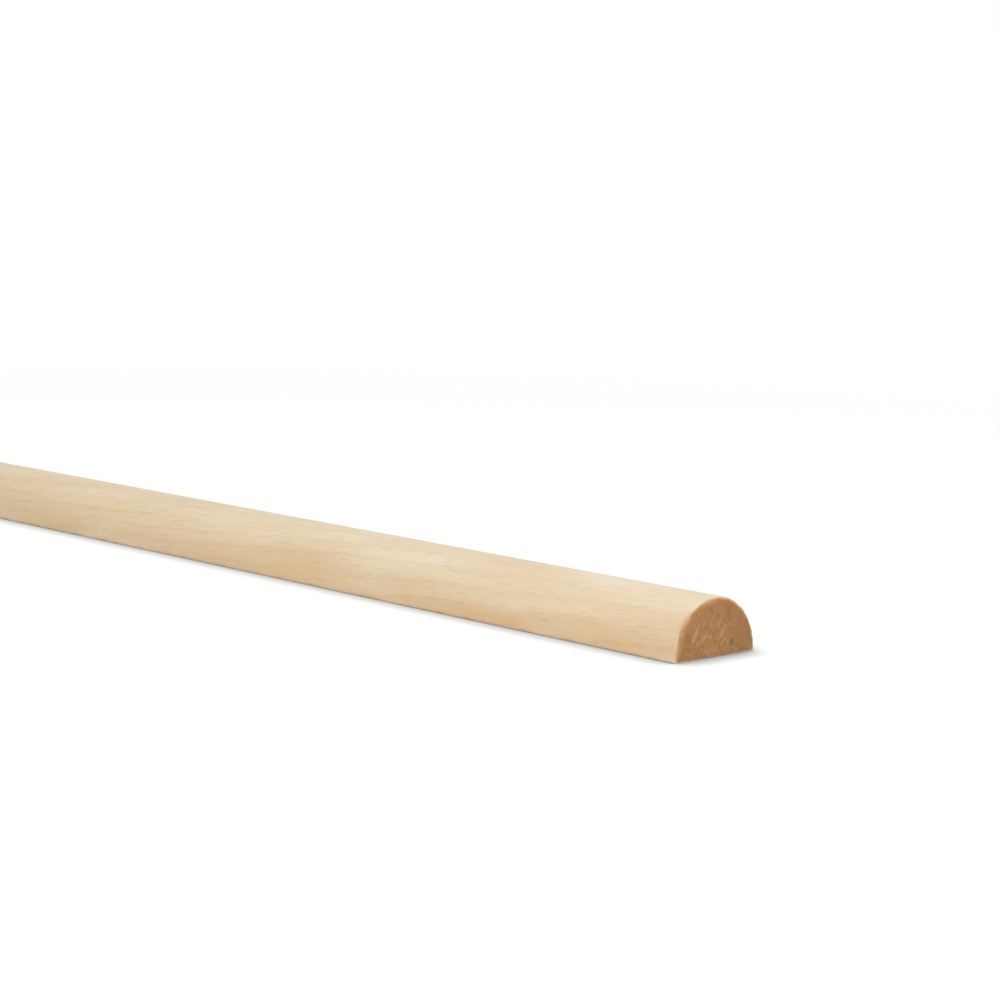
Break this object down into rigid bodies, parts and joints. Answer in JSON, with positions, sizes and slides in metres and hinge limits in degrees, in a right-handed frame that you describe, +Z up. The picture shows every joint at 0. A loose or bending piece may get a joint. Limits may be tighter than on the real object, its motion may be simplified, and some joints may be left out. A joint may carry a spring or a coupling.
{
  "type": "split dowel rod",
  "caption": "Straight half-round wooden rod with a flat split face and square sawn ends, used as trim, edging or craft stock.",
  "frame": {"origin": "middle of the flat split face, on the surface that the rod lies on", "axes": "+X along the rod, +Y across the flat, +Z up out of the flat towards the crown of the round face"},
  "size_m": [0.3048, 0.019, 0.0099],
  "materials": {
    "birch": "unfinished, fine sanded, sawn end grain"
  },
  "bodies": {
    "root": {"split_dowel_rod": "birch"}
  },
  "joints": []
}
